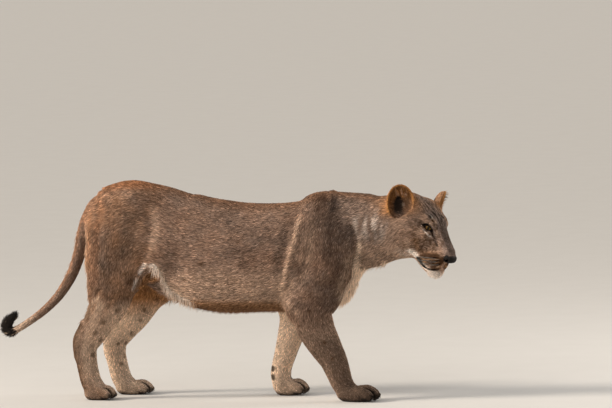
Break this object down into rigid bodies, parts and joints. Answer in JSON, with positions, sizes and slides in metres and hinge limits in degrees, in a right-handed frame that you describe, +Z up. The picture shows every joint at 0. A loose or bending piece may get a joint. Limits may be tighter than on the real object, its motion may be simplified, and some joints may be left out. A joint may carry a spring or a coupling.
{
  "type": "lioness",
  "caption": "Young adult lioness in mid stride, head lowered and turned a little to its right, tail hanging with the tip curled up; a still, life-size animal model.",
  "frame": {"origin": "on the floor, at the middle of the footprint's bounding box", "axes": "+X towards the head (the way it walks), +Y the animal's left, +Z up; the paw soles stand on z = 0"},
  "size_m": [2.0504, 0.3114, 0.9502],
  "materials": {
    "coat_back": "short dense fur, tan with grey-brown tips",
    "coat_flank": "short dense fur, tan",
    "coat_head": "very short fur, greyish tan, white at the chin",
    "coat_leg": "short fur, pale tan with faint brown spots",
    "coat_pale": "very short fur, cream tan",
    "coat_ear": "short fur, orange-brown rim with a pale inside",
    "coat_dark": "long brown-black hair",
    "nose_leather": "bare pebbled skin, brown black",
    "eye": "wet, amber with a round black pupil"
  },
  "bodies": {
    "root": {"rump": "coat_back", "barrel": "coat_flank", "shoulders": "coat_back", "neck": "coat_flank", "head": "coat_head", "nose": "nose_leather", "ear_right": "coat_ear", "ear_left": "coat_ear", "eye_right": "eye", "eye_left": "eye", "foreleg_right_upper": "coat_leg", "foreleg_right_lower": "coat_pale", "foreleg_right_paw": "coat_pale", "foreleg_left_upper": "coat_leg", "foreleg_left_lower": "coat_pale", "foreleg_left_paw": "coat_pale", "hindleg_right_upper": "coat_leg", "hindleg_right_lower": "coat_pale", "hindleg_right_paw": "coat_pale", "hindleg_left_upper": "coat_leg", "hindleg_left_lower": "coat_pale", "hindleg_left_paw": "coat_pale", "tail_base": "coat_flank", "tail_middle": "coat_flank", "tail_end": "coat_flank", "tail_tuft": "coat_dark"}
  },
  "joints": []
}
